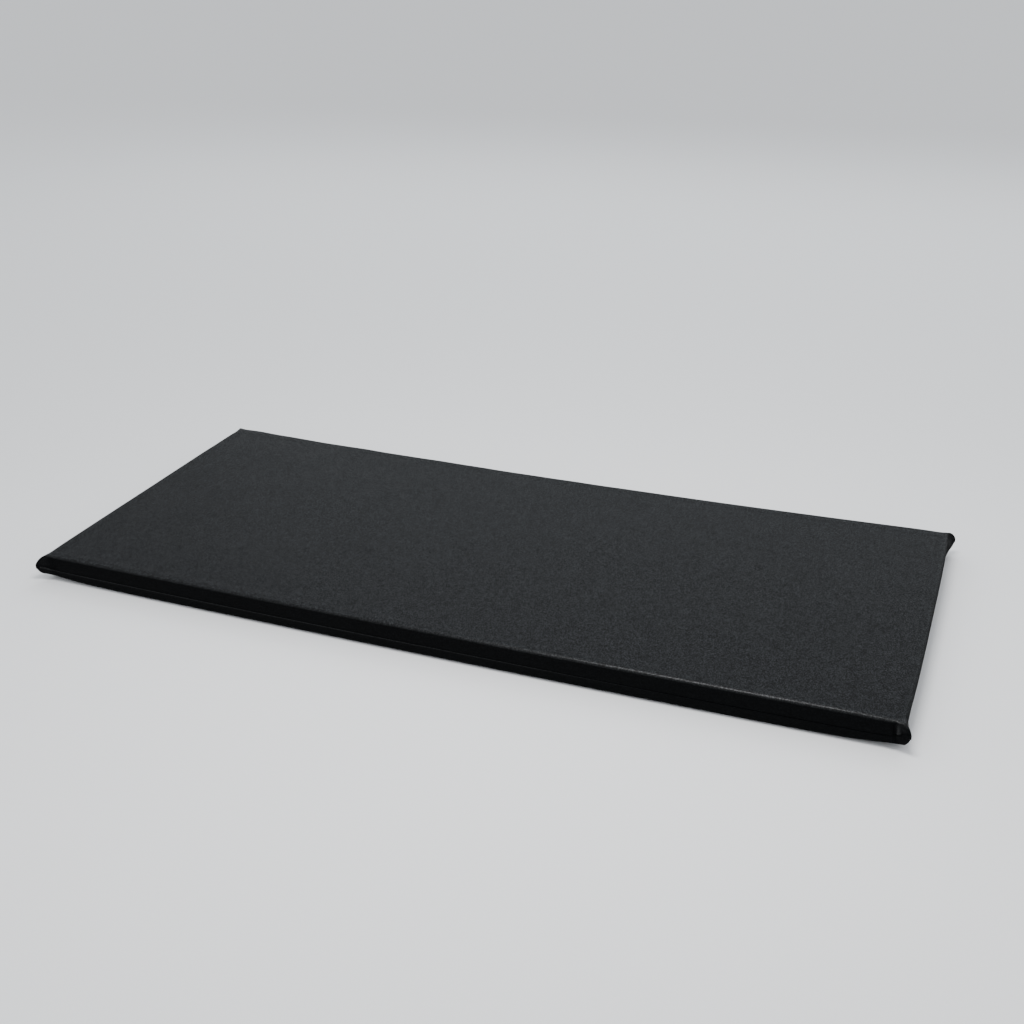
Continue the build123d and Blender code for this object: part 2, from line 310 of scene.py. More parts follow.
def cover_cloth():
    """Black coated cloth: crossing yarns, each crossing with its own gloss, and slow changes of tone."""
    material, tree, shader = new_material("cover_cloth")
    place = place_of(tree, "cloth")
    along, across = split(place)[:2]
    crossing = sine(along * (math.pi / YARN_PITCH)) * sine(across * (math.pi / YARN_PITCH))
    domes = crossing.maths("ABSOLUTE", crossing)
    floats = clamp(per_cell(place, YARN_PITCH) * 2.4 - 1.1)
    grain = noise_of(place, 650.0, 3.0, 0.75)
    cloud = noise_of(place, 5.0, 3.0, 0.55)
    worn = noise_of(place, 40.0, 4.0, 0.6)
    rubbed = add_node(tree, "ShaderNodeAttribute", output="Fac", settings={"attribute_name": "rubbed"})
    polish = add_node(tree, "ShaderNodeAttribute", output="Fac", settings={"attribute_name": "polish"})
    tone = grain * 0.5 + cloud * 0.35 + worn * 0.15
    colour = blend_colours(tone, DEEP_BLACK, WORN_BLACK)
    speckle = noise_of(place, 300.0, 2.0, 0.6) * 2.4 - 0.2
    colour = blend_colours(floats * speckle * (rubbed * 0.85 + 0.15), colour, YARN_GREY)
    connect(tree, colour, shader.inputs["Base Color"])
    rough = domes * 0.05 + grain * 0.2 + worn * 0.08 - speckle * 0.1 + 0.67
    connect(tree, rough - rubbed * 0.3, shader.inputs["Roughness"])
    connect(tree, bump_from(domes * 0.8 + grain * 0.2, WEAVE_RELIEF, 0.7), shader.inputs["Normal"])
    glint = polish * (grain * 0.25 + floats * 0.2 + 0.1)
    connect(tree, glint + floats * rubbed * 0.12, shader.inputs["Coat Weight"])
    shader.inputs["Coat Roughness"].default_value = COATING_ROUGHNESS
    shader.inputs["IOR"].default_value = COATING_IOR
    return material


cover_material = cover_cloth()

# %% [markdown]
# ## The shape of the cover
# A knife-edge cover is two flat rectangles sewn together round their edges. Pulled over a slab, each one lies
# flat on a face, rolls over the edge and comes down (or up) the wall to the seam. At a corner there is cloth
# to spare: it stands out as an ear.
#
# The shape is worked out on the cloth: a point of the pattern is `along` and `across` from the middle. Near
# an edge its distance past the start of the corner zone says how far it has rolled over. In a corner, all
# points that are equally far from the seam make a ring that turns the corner out at the ear.

# %% The cover's own sizes
CORNER_ZONE = 0.040  # from a wall inward: the ear grows out of this much of it
TOP_ROLL = 0.0078
BOTTOM_ROLL = 0.010
EAR_REACH = 0.0175
EAR_RISE = 0.012  # the ear's tip stands this much above the seam
EAR_FULLNESS = {1: 1.9, -1: 2.7}  # upper and lower: 1 is a flat fin, more keeps the ear thick to its tip
EAR_BLUNTING = 0.003
CLOTH_THICKNESS = 0.0005
straight_x = half_length - CORNER_ZONE
straight_y = half_width - CORNER_ZONE


def smooth(value):
    """0 below 0, 1 above 1, and smooth between."""
    value = min(1.0, max(0.0, value))
    return value * value * (3 - 2 * value)


# %% [markdown]
# ### The tuck beside one ear
# At the front corner of the zip end the ear is folded back against the end wall. The front wall is pulled
# into a crevice beside it, and a ridge of cloth runs down from the upper face between the two.

# %% The tuck
TUCK_INSET = 0.0145  # from the corner back along the front wall
TUCK_WIDTH = 0.0032
TUCK_DEPTH = 0.0042
TUCK_LEAN = 0.12  # how far the crevice slants along the wall, for its height
TUCK_REACH = (0.06, 0.03)  # the tuck is nowhere further than this from the end wall and the front wall
FOLD_FOOT = 0.004  # where the folds begin above the floor
FOLD_FADE = 0.012  # over how much height a fold grows
FOLD_BRIM = 0.010  # where they begin to die out under the lying face
RIDGE_HEIGHT = 0.0028
RIDGE_FOOT = 0.006  # below the seam
RIDGE_PLACE = 2.2  # from the crevice, in widths of the crevice
RIDGE_SPREAD = 1.1
EAR_LIFT = 0.006
EAR_PULL = 0.0018
EAR_DEPTH = 0.010  # past the walls, where the lift and the pull are full
EAR_BRIM = 0.014  # where they begin to die out under the lying face


def fold_share(point, offset, width):
    """How much a point is on a slanting fold down the front wall, so many widths past the crevice."""
    if point.x < half_length - TUCK_REACH[0] or point.y > TUCK_REACH[1] - half_width:
        return 0.0
    height = smooth((point.z - FOLD_FOOT) / FOLD_FADE)
    height *= 1 - smooth((point.z - top_z + FOLD_BRIM) / FOLD_BRIM)
    lean = (point.z - seam_z) * TUCK_LEAN
    from_crevice = (point.x - half_length + TUCK_INSET + lean) / TUCK_WIDTH
    return math.exp(-(((from_crevice - offset) / width) ** 2)) * height


def ridge_share(point):
    """How much a point is on the lit ridge, which runs out below the seam."""
    below_seam = smooth((point.z - seam_z + RIDGE_FOOT) / FOLD_FADE)
    return fold_share(point, RIDGE_PLACE, RIDGE_SPREAD) * below_seam


def tuck(point):
    """Pull in the crevice, push out the ridge beside it, and turn the ear up and back."""
    out = RIDGE_HEIGHT * ridge_share(point) - TUCK_DEPTH * fold_share(point, 0.0, 1.0)
    past_corner = 0.0
    if point.y < 0 < point.x:
        past_walls = max(point.x - half_length, -half_width - point.y)
        past_corner = smooth(past_walls / EAR_DEPTH)
        past_corner *= 1 - smooth((point.z - top_z + EAR_BRIM) / FOLD_FADE)
    return Vector((-EAR_PULL * past_corner, EAR_PULL * past_corner - out, EAR_LIFT * past_corner))


# %% [markdown]
# ### One panel
# Both panels are wrapped by the same rules, from their own lying face and with their own roll. A panel also
# says where the coating has been polished by wear.


# %% A panel
FRONT_BAND = 0.02  # the front's wear begins this far in front of the wall
FRONT_FADE = 0.012
SIDE_WEAR = 0.15  # the wear of the other rims, for the front rim's 1
LIP_WEAR = 0.8
LIP_WIDTH = 0.0018
EAR_WEAR = 0.5
EAR_WEAR_SPREAD = 0.010
EAR_WEAR_FOOT = 0.008  # above the seam
RIDGE_WEAR = 1.5


class Panel:
    """One of the cover's two panels: way is 1 for the upper and -1 for the lower."""

    def __init__(self, way, level, roll):
        self.way = way
        self.level = level
        self.roll = roll
        self.fall = abs(level - seam_z)
        self.flat = CORNER_ZONE - roll
        self.reach = self.flat + roll * math.pi / 2 + self.fall - roll
        self.ear_slack = EAR_REACH / (self.free_corner(self.reach) - CORNER_ZONE)

    def profile(self, reach):
        """How far out and how far from the lying face the cloth is, this far into the zone."""
        bend = (reach - self.flat) / self.roll
        if bend <= 0:
            return reach, 0.0
        if bend < math.pi / 2:
            return self.flat + self.roll * math.sin(bend), self.roll * (1 - math.cos(bend))
        return CORNER_ZONE, self.roll + reach - self.flat - self.roll * math.pi / 2

    def edge_polish(self, reach, place):
        """How polished the coating is: most where the front rim rolls over, and on the seam's lower lip."""
        turned = (reach - self.flat) / self.roll
        front = smooth((-place.y - half_width + FRONT_BAND) / FRONT_FADE)
        if self.way < 0:
            gap = self.reach - reach
            lip = smooth(gap / 0.0008) * (1 - smooth((gap - LIP_WIDTH) / 0.0012))
            return LIP_WEAR * lip * front * (1 - smooth((place.x - 0.1) / 0.5))
        rim = smooth(turned / 0.4 + 0.6) * (1 - smooth((turned - 0.9) / 0.4))
        rim *= SIDE_WEAR + (1 - SIDE_WEAR) * front
        from_corner = Vector((half_length - abs(place.x), half_width + place.y, 0)).length
        ear = EAR_WEAR * math.exp(-((from_corner / EAR_WEAR_SPREAD) ** 2))
        ear *= smooth((place.z - seam_z - EAR_WEAR_FOOT) / EAR_WEAR_FOOT)
        return max(rim, ear, ridge_share(place) * RIDGE_WEAR)

    def free_corner(self, reach):
        """Where the corner of the ring at this reach would stand, if no cloth were gathered."""
        out = self.profile(reach)[0]
        return (out + math.sqrt(max(2 * reach * reach - out * out, 0))) / 2

    def corner_drop(self, reach):
        """How far from the lying face the ridge of the ear is, down to the ear's tip."""
        share = max(0.0, (reach - self.flat) / (self.reach - self.flat))
        return (self.fall - self.way * EAR_RISE) * share ** EAR_FULLNESS[self.way]

    def place(self, reach_x, reach_y):
        """Where a point of the corner zone is: its place past the zone's start, and its drop."""
        ring = max(reach_x, reach_y)
        if ring <= 0:
            return reach_x, reach_y, 0.0
        out, drop = self.profile(ring)
        share = max(0.0, min(reach_x, reach_y)) / ring
        corner = out + (self.free_corner(ring) - out) * self.ear_slack
        corner -= EAR_BLUNTING * share**6 * (ring / self.reach) ** 4
        side = corner * share
        main = out * (1 - share * share) + corner * share * share
        drop += (self.corner_drop(ring) - drop) * share * share * (3 - 2 * share)
        return (main, side, drop) if reach_x >= reach_y else (side, main, drop)


upper = Panel(1, top_z, TOP_ROLL)
lower = Panel(-1, 0.0, BOTTOM_ROLL)
print("pattern reach", round(upper.reach, 4), round(lower.reach, 4))

# %% [markdown]
# ### How the filled cover departs from a box
# The corners of the slab give way, so the upper face dips there and the underside lifts off the floor, at one
# corner more than at the others. The long sides are not quite straight either: the mattress lies in a slight
# bow. Slow undulations of less than a millimetre keep the lying face from being a mirror. The same movement
# is used for everything inside, so no layer comes through another.

# %% Dips, lifts and the bow
CORNER_DIP = 0.0015
DIP_SPREAD = 0.045
LIFT_SPREAD = 0.06
WAVE_HEIGHT = 0.0007
RIPPLE_HEIGHT = 0.0012  # towards the back left corner only
FACE_SINK = 0.0002
END_BULGE = 0.005  # how far the upper wall stands out over the zip
BULGE_FOOT = 0.010  # the bulge begins this far above the seam, and is full a BULGE_RISE higher
BULGE_RISE = 0.014
BULGE_RUN = 0.12  # from the end wall inward
CORNER_LIFTS = {(-1, -1): 0.011, (1, -1): 0.012, (1, 1): 0.006, (-1, 1): 0.006}
BOW_FRONT = 0.008
BOW_BACK = 0.014
BACK_SPREAD = 0.011  # how far the back corners stand out past the back side
BACK_BAND = 0.03  # from the back wall inward


def settle(point):
    """Move a point of the box-like mattress to where the lying one has it."""
    corner = Vector((half_length - abs(point.x), half_width - abs(point.y), 0)).length
    if point.z >= seam_z:
        from_seam = (point.z - seam_z) / upper.fall
        wave = noise.noise(Vector((point.x * 5, point.y * 5, 1.7)))
        ripple = noise.noise(Vector((point.x * 14, point.y * 9, 5.1)))
        left_back = max(0.0, 0.5 - point.x) * max(0.0, 0.4 + point.y)
        point.z -= CORNER_DIP * math.exp(-((corner / DIP_SPREAD) ** 2)) * from_seam
        point.z += (WAVE_HEIGHT * wave + RIPPLE_HEIGHT * ripple * left_back - FACE_SINK) * from_seam
    else:
        from_seam = (seam_z - point.z) / lower.fall
        lift = CORNER_LIFTS[(1 if point.x > 0 else -1, 1 if point.y > 0 else -1)]
        point.z += lift * math.exp(-((corner / LIFT_SPREAD) ** 1.2)) * from_seam
    over_zip = smooth((point.z - seam_z - BULGE_FOOT) / BULGE_RISE)
    over_zip *= smooth((point.x - half_length + BULGE_RUN) / BULGE_RUN)
    point.x += END_BULGE * over_zip * max(0.0, 1 - (point.y / half_width) ** 4)
    share = (point.y / half_width + 1) / 2
    bow = BOW_FRONT + (BOW_BACK - BOW_FRONT) * share
    end_share = min(1.0, (point.x / half_length) ** 2)
    near_back = smooth((point.y - half_width + BACK_BAND) / BACK_BAND)
    point.y += BACK_SPREAD * end_share * near_back - bow * (1 - end_share)
    return point


# %% [markdown]
# ### The stations of the grid
# The cloth is a grid that is coarse in the middle and fine where it bends, and finest beside the seam. Rows
# past the seam are the seam allowance: the part of the cloth that is inside the cover, behind the stitching.

# %% Stations across the zone
ALLOWANCE = 0.0085
INSIDE_ROWS = (-ALLOWANCE, -0.005, -0.002, -0.0008)
OUTSIDE_ROWS = (0.0, 0.0003, 0.0008, 0.0014, 0.0021, 0.003, 0.0042, 0.0056, 0.0075)
ZONE_STEP = 0.0026
MIDDLE_STEP = 0.0125


class Station:
    """One line of the grid: where the straight part ends, and the share of the zone past it."""

    def __init__(self, straight, share, from_seam=1.0):
        self.straight = straight
        self.share = share
        self.from_seam = from_seam


def stations(straight, rows, step, middle):
    """All lines of the grid along one side of the pattern, from its one edge to the other."""
    rest = upper.reach - rows[-1]
    count = round(rest / step)
    zone = [Station(straight, rest * n / count / upper.reach) for n in range(1, count)]
    zone += [Station(straight, 1 - max(row, 0) / upper.reach, row) for row in reversed(rows)]
    count = round(2 * straight / middle)
    flat = [Station(straight * (2 * n / count - 1), 0.0) for n in range(count + 1)]
    return [Station(-s.straight, -s.share, s.from_seam) for s in reversed(zone)] + flat + zone


# %% [markdown]
# ### At the seam and at the zip
# Next to the seam each panel bends in, and its allowance hangs down inside the wall: that bend is the groove
# that runs round the mattress. Beside the zip the panels' edges stand apart, and each is hemmed: turned back
# on itself behind the wall, where the topstitching holds it.

# %% Turning the edges in
UPPER_TURN = 0.0019  # how deep behind the wall the upper panel's seam line is
LOWER_TURN = 0.0009
UPPER_ALLOWANCE = 0.0024  # how deep behind the wall its allowance hangs
LOWER_ALLOWANCE = 0.0014
ALLOWANCE_BEND = 0.002
TURN_LENGTH = 0.0032
HEM_DEPTH = 0.0011
HEM_TURN = 0.0009
WINDOW_EASE = 0.004  # over how much of the seam its edges part, at the window's ends
LIP_BULGE = 0.0007
LIP_PLACE = 0.004  # below the seam
LIP_SPREAD = 0.003


def round_in(gap, length):
    """From 0 to 1, as a quarter of a circle, as the gap goes from the length down to 0."""
    share = min(1.0, max(0.0, (length - gap) / length))
    return 1 - math.sqrt(1 - share * share)


def edge_shape(panel, gap, window, lip):
    """Depth behind the wall and height beside the seam, for a row this far from the panel's edge."""
    turn = UPPER_TURN if panel.way > 0 else LOWER_TURN
    hang = UPPER_ALLOWANCE if panel.way > 0 else LOWER_ALLOWANCE
    if gap >= 0:
        seam_depth = turn * round_in(gap, TURN_LENGTH)
        hem_depth = HEM_TURN * round_in(gap, HEM_TURN)
        if panel.way < 0:
            seam_depth -= lip * math.exp(-(((gap - LIP_PLACE) / LIP_SPREAD) ** 2))
        seam_side = hem_side = 0.0
    else:
        past = smooth(-gap / ALLOWANCE_BEND)
        seam_depth = turn + (hang - turn) * past
        hem_depth = HEM_DEPTH
        seam_side = gap  # both allowances hang down
        hem_side = -gap * panel.way  # a hem goes back along its own wall
    depth = seam_depth + (hem_depth - seam_depth) * window
    side = seam_side + (hem_side - seam_side) * window
    return depth, side


# %% Where a crossing of two lines is
def wrapped(panel, column, line):
    """A point of the smoothly wrapped cover, how far into the zone it is, and on which sides."""
    reach = Vector((abs(column.share) * panel.reach, abs(line.share) * panel.reach))
    side = Vector((math.copysign(1, column.straight), math.copysign(1, line.straight)))
    out_x, out_y, drop = panel.place(reach.x, reach.y)
    x, y = column.straight + side.x * out_x, line.straight + side.y * out_y
    return Vector((x, y, panel.level - panel.way * drop)), reach, side, drop


def blank_grid(shape, columns, lines):
    """Add a flat grid to a shape, and give each new point with the two lines that cross there."""
    count_x, count_y = len(columns) - 1, len(lines) - 1
    grid = bmesh.ops.create_grid(shape, x_segments=count_x, y_segments=count_y, size=1)
    for vert in grid["verts"]:
        column = columns[round((vert.co.x + 1) / 2 * count_x)]
        line = lines[round((vert.co.y + 1) / 2 * count_y)]
        yield vert, column, line


# %% [markdown]
# ### Letting the cloth find its own shape
# The wrapped shape is tidier than cloth is. So a coarse copy of the whole cover, a closed bag, is simulated:
# it is held where it lies on the faces, the slab inside it is solid, and a little air pressure fills it out.
# The corners swell and the spare cloth at them buckles. How far each point moved is kept, capped, and then
# added to the fine panels, because the seam's groove needs more points than a simulation can move in a
# short time.

# %% Simulate the bag
BAG_ROWS = (0.0, 0.003, 0.0065)  # the bag has no allowance
BAG_STEP = 0.0048
BAG_MIDDLE = 0.04
PRESSURE = 4.0
FRAMES = 20
CAP = 0.007
CONTACT_GAP = 0.0008
SLAB_GAP = 0.0015
SLAB_CORNER = 0.018
SLAB_ROLL = 0.009
SIDE_SHARE = 0.5  # the sides are tighter than the corners: they keep this much of the swelling
CORNER_SWELLS = 0.02  # how far into a corner all of the swelling is kept
HELD_FROM = 0.012  # from a wall inward: the cloth is free outside this, and held fast a HELD_FADE further in
HELD_FADE = 0.016


def block(size, middle):
    """A block of this size round its middle."""
    shape = bmesh.new()
    bmesh.ops.create_cube(shape, size=1)
    bmesh.ops.scale(shape, vec=size, verts=shape.verts)
    bmesh.ops.translate(shape, vec=middle, verts=shape.verts)
    return shape


def round_off(shape, edges, offset, segments):
    """Round these edges of a shape."""
    bmesh.ops.bevel(
        shape, geom=edges, offset=offset, segments=segments, profile=0.5, affect="EDGES", material=-1
    )


def rounded_block(size, middle, corner, roll):
    """A block with its upright edges rounded, and then its rims."""
    shape = block(size, middle)
    round_off(shape, [e for e in shape.edges if abs(e.verts[0].co.z - e.verts[1].co.z) > 0.001], corner, 6)
    round_off(shape, [e for e in shape.edges if abs(e.verts[0].co.z - e.verts[1].co.z) < 1e-6], roll, 4)
    return shape


def bag_shape():
    """Both panels, coarse, welded along the seam."""
    shape = bmesh.new()
    columns = stations(straight_x, BAG_ROWS, BAG_STEP, BAG_MIDDLE)
    lines = stations(straight_y, BAG_ROWS, BAG_STEP, BAG_MIDDLE)
    for panel in (upper, lower):
        before = set(shape.faces)
        for vert, column, line in blank_grid(shape, columns, lines):
            vert.co = wrapped(panel, column, line)[0]
        if panel.way < 0:
            bmesh.ops.reverse_faces(shape, faces=[f for f in shape.faces if f not in before])
    bmesh.ops.remove_doubles(shape, verts=shape.verts, dist=0.0001)
    return shape


def simulate_bag():
    """Run the cloth, and give the bag's faces at rest and how far each of its points moved."""
    bag = new_object("bag", bag_shape())
    rest = [vert.co.copy() for vert in bag.data.vertices]
    faces = [list(face.vertices) for face in bag.data.polygons]
    held = bag.vertex_groups.new(name="held")
    for index, co in enumerate(rest):
        inside = min(half_length - abs(co.x), half_width - abs(co.y))
        held.add([index], smooth((inside - HELD_FROM) / HELD_FADE), "REPLACE")
    core_size = (2 * (half_length - SLAB_GAP), 2 * (half_width - SLAB_GAP), top_z - 2 * SLAB_GAP)
    core = new_object("core", rounded_block(core_size, (0, 0, top_z / 2), SLAB_CORNER, SLAB_ROLL))
    core.modifiers.new("solid", "COLLISION")
    core.collision.thickness_outer = CONTACT_GAP
    cloth = bag.modifiers.new("cloth", "CLOTH")
    fabric = cloth.settings
    fabric.quality = 6
    fabric.mass = 0.25
    fabric.tension_stiffness = 30
    fabric.compression_stiffness = 12
    fabric.shear_stiffness = 8
    fabric.bending_stiffness = 0.8
    fabric.use_pressure = True
    fabric.uniform_pressure_force = PRESSURE
    fabric.vertex_group_mass = "held"
    fabric.effector_weights.gravity = 0
    cloth.collision_settings.distance_min = CONTACT_GAP
    for frame_number in range(1, FRAMES + 1):
        bpy.context.scene.frame_set(frame_number)
    simulated = bpy.context.evaluated_depsgraph_get()
    swollen = bag.evaluated_get(simulated).data.vertices
    moves = [swollen[index].co - co for index, co in enumerate(rest)]
    bpy.context.scene.frame_set(1)
    for helper in (bag, core):
        bpy.data.objects.remove(helper)
    longest = max(move.length for move in moves)
    moves = [move * min(1.0, CAP / max(move.length, 1e-9)) for move in moves]
    print("bag points", len(moves), "longest move", round(longest, 4))
    return rest, faces, moves


def movement_of(rest, faces, moves):
    """A function that gives how far a point of the wrapped cover moved."""
    tree = BVHTree.FromPolygons(rest, faces)

    def moved(place):
        nearest, _, face, _ = tree.find_nearest(place)
        corners = [rest[index] for index in faces[face]]
        total = Vector((0, 0, 0))
        for index, weight in zip(faces[face], poly_3d_calc(corners, nearest)):
            total += moves[index] * weight
        return total

    return moved


moved = movement_of(*simulate_bag())


# %% A panel's grid
ZIP_CLEAR = 0.004  # beyond the zip's window, where the cloth begins to swell again
ZIP_FADE = 0.008
LIP_CLEAR = 0.002  # the same for the lip below the seam
LIP_FADE = 0.02
RUBBED_PAST = 0.003  # how far past the start of the roll the lying face's rubbed look goes
RUBBED_FADE = 0.006


def cloth_grid(panel, rows, step, middle):
    """A panel's grid, each point at its place in the filled cover, with its pattern as a UV map."""
    shape = bmesh.new()
    pattern = {}
    ridge = []
    polish = shape.verts.layers.float.new("polish")
    rubbed = shape.verts.layers.float.new("rubbed")
    columns, lines = stations(straight_x, rows, step, middle), stations(straight_y, rows, step, middle)
    for vert, column, line in blank_grid(shape, columns, lines):
        vert.co, reach, side, drop = wrapped(panel, column, line)
        ring = max(reach)
        vert[polish] = panel.edge_polish(ring, vert.co)
        vert[rubbed] = 1 - smooth((ring - panel.flat - RUBBED_PAST) / RUBBED_FADE)
        if ring > 0:
            kept = SIDE_SHARE + (1 - SIDE_SHARE) * smooth(min(reach) / CORNER_SWELLS)
            move = moved(vert.co) * kept
            if column.share > 0:
                move *= smooth((abs(vert.co.y) - window_half - ZIP_CLEAR) / ZIP_FADE)
            vert.co += move
        if ring > panel.flat:
            share = min(reach) / ring
            turn_x = side.x * (1 if reach.x >= reach.y else share**3)
            turn_y = side.y * (1 if reach.y >= reach.x else share**3)
            window, lip = 0.0, LIP_BULGE
            if column.share > 0:
                window = smooth((window_half - abs(vert.co.y)) / WINDOW_EASE)
                lip *= smooth((abs(vert.co.y) - window_half - LIP_CLEAR) / LIP_FADE)
                wall_share = smooth((drop - panel.roll) / (panel.fall - panel.roll))
                vert.co.z += panel.way * window_rise * window * wall_share
            depth, rise = edge_shape(panel, min(column.from_seam, line.from_seam), window, lip)
            vert.co -= Vector((turn_x, turn_y, 0)).normalized() * depth * (1 - 0.5 * share**2)
            vert.co.z += rise
        vert.co += tuck(vert.co)
        settle(vert.co)
        past = Vector((side.x * max(0, -column.from_seam), side.y * max(0, -line.from_seam)))
        straight = Vector((column.straight, line.straight))
        pattern[vert] = straight + Vector((side.x * reach.x, side.y * reach.y)) + past
        if ring > 0 and abs(column.share) == abs(line.share) and column.from_seam == line.from_seam:
            ridge.append(vert)
    bmesh.ops.connect_verts(shape, verts=ridge)  # an ear folds along its corner's diagonal
    uv = shape.loops.layers.uv.new("cloth")
    for face in shape.faces:
        for loop in face.loops:
            loop[uv].uv = pattern[loop.vert]
    if panel.way < 0:
        bmesh.ops.reverse_faces(shape, faces=shape.faces)
    return shape


# %% The two panels
def thicken(piece, thickness):
    """Give cloth its thickness, on its inner side."""
    wall = piece.modifiers.new("thickness", "SOLIDIFY")
    wall.thickness = thickness
    wall.offset = -1


for name, panel in (("cover_upper", upper), ("cover_lower", lower)):
    piece = new_object(name, cloth_grid(panel, INSIDE_ROWS + OUTSIDE_ROWS, ZONE_STEP, MIDDLE_STEP))
    piece.data.shade_smooth()
    piece.data.materials.append(cover_material)
    thicken(piece, CLOTH_THICKNESS)
    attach(piece, "mattress")
    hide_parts("cover_top_panel" if panel.way > 0 else "cover_bottom_panel")
    cut_size = [2 * (straight + panel.reach + ALLOWANCE) for straight in (straight_y, straight_x)]
    print(name, "faces", len(piece.data.polygons), "cut", [round(side, 3) for side in cut_size])

# %% [markdown]
# ## The filling
# Inside the cover is a cotton casing, and in it, from the top, a sheet of batting, a soft foam layer, a firm
# foam core and a second sheet of batting. They are cut to size and slightly rounded by the cloth round them.
# Each starts as a cube at the size of its CAD solid. Its edges are bevelled, cuts across it give it points to
# bend at, and it settles as the cover does.

# %% Slabs
CUT_STEP = 0.03


def crosscut(shape, low, high, step):
    """Cut a shape at even steps along x and y, so that it can bend."""
    for axis in (0, 1):
        count = round((high[axis] - low[axis]) / step)
        normal = [float(axis == n) for n in range(3)]
        for n in range(1, count):
            point = [0.0, 0.0, 0.0]
            point[axis] = low[axis] + (high[axis] - low[axis]) * n / count
            everything = shape.verts[:] + shape.edges[:] + shape.faces[:]
            bmesh.ops.bisect_plane(shape, geom=everything, plane_co=point, plane_no=normal)


def slab(low, high, corner, roll):
    """A rounded block between two corners, that can bend."""
    low, high = Vector(low), Vector(high)
    shape = rounded_block(high - low, (low + high) / 2, corner, roll)
    crosscut(shape, low, high, CUT_STEP)
    return shape


def finish_soft(name, shape, material, slot, nodes):
    """Settle a soft shape, and hand it over in the place of CAD nodes."""
    for vert in shape.verts:
        settle(vert.co)
    piece = new_object(name, shape)
    piece.data.shade_smooth()
    piece.data.materials.append(material)
    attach(piece, "mattress")
    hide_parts(*nodes)
    print(name, "faces", len(piece.data.polygons))
    return piece


# %% Filling materials
COTTON_PITCH = 0.0009
FIRM_CELL = 0.0012
SOFT_CELL = 0.0009


def foam(name, dark, light, cell):
    """Cut foam: open cells as a fine bump, and a slightly uneven tone."""
    material, tree, shader = new_material(name)
    place = place_of(tree)
    cells = place.feed("ShaderNodeTexVoronoi", "Vector", Scale=1 / cell)
    cloud = noise_of(place, 12.0)
    connect(tree, blend_colours(cells * 0.5 + cloud * 0.5, dark, light), shader.inputs["Base Color"])
    connect(tree, cloud * 0.1 + 0.85, shader.inputs["Roughness"])
    connect(tree, bump_from(cells, cell / 3, 0.7), shader.inputs["Normal"])
    return material


def batting_fibre():
    """White polyester wadding: tangled fibres."""
    material, tree, shader = new_material("batting_fibre")
    place = place_of(tree)
    fibres = noise_of(place, 260.0, 6.0, 0.75)
    cloud = noise_of(place, 18.0, 3.0)
    colour = blend_colours(fibres * 0.6 + cloud * 0.4, (0.55, 0.54, 0.5, 1), (0.86, 0.86, 0.84, 1))
    connect(tree, colour, shader.inputs["Base Color"])
    connect(tree, fibres * 0.2 + 0.75, shader.inputs["Roughness"])
    connect(tree, bump_from(fibres + cloud, 0.0012, 0.8), shader.inputs["Normal"])
    shader.inputs["Sheen Weight"].default_value = 0.4
    return material


def casing_cotton():
    """Unbleached cotton: an open plain weave with darker flecks."""
    material, tree, shader = new_material("casing_cotton")
    place = place_of(tree)
    along, across = split(place)[:2]
    turn = 2 * math.pi / COTTON_PITCH
    weave = sine(along * turn) * sine(across * turn)
    fleck = noise_of(place, 320.0, 4.0, 0.7)
    colour = blend_colours(weave * 0.2 + fleck, (0.5, 0.45, 0.36, 1), (0.76, 0.72, 0.62, 1))
    connect(tree, colour, shader.inputs["Base Color"])
    connect(tree, fleck * 0.2 + 0.75, shader.inputs["Roughness"])
    connect(tree, bump_from(weave * 0.5 + fleck * 0.5, 0.0002, 0.6), shader.inputs["Normal"])
    return material


firm_material = foam("firm_foam_cells", (0.42, 0.42, 0.40, 1), (0.62, 0.62, 0.58, 1), FIRM_CELL)
soft_material = foam("soft_foam_cells", (0.66, 0.56, 0.30, 1), (0.84, 0.76, 0.48, 1), SOFT_CELL)
batting_material = batting_fibre()
casing_material = casing_cotton()

# %% Foam and batting
BATTING_LUMPS = 0.0004

for node, corner, roll, material, slot, fill in (
    ("foam_core", 0.012, 0.0025, firm_material, "firm_foam", 1.0),
    ("foam_comfort_layer", 0.012, 0.0025, soft_material, "soft_foam", 0.95),
    ("batting_bottom", 0.016, 0.0024, batting_material, "batting", 0.7),
    ("batting_top", 0.016, 0.0024, batting_material, "batting", 0.7),
):
    low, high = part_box(node)
    shape = slab(low, high, corner, roll)
    if node.startswith("batting"):
        for vert in shape.verts:
            vert.co.z += BATTING_LUMPS * noise.noise(vert.co * 22)
    piece = finish_soft(node + "_soft", shape, material, slot, [node])

# %% Casing
CASING_THICKNESS = 0.0004
CASING_CORNER = 0.015
CASING_ROLL = 0.008

casing_low = Vector(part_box("inner_casing_bottom")[0])
casing_high = Vector(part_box("inner_casing_top")[1])
for node, way in (("inner_casing_top", 1), ("inner_casing_bottom", -1)):
    low, high = (Vector(corner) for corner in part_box(node))
    shape = slab(casing_low, casing_high, CASING_CORNER, CASING_ROLL)
    bmesh.ops.bisect_plane(
        shape,
        geom=shape.verts[:] + shape.edges[:] + shape.faces[:],
        plane_co=(0, 0, low.z if way > 0 else high.z),
        plane_no=(0, 0, way),
        clear_inner=True,
    )
    piece = finish_soft(node + "_cloth", shape, casing_material, "casing_cloth", [node])
    thicken(piece, CASING_THICKNESS)
    wall = high.z - low.z
    span = high - low
    cut_size = (span.y + 2 * wall, span.x + 2 * wall)

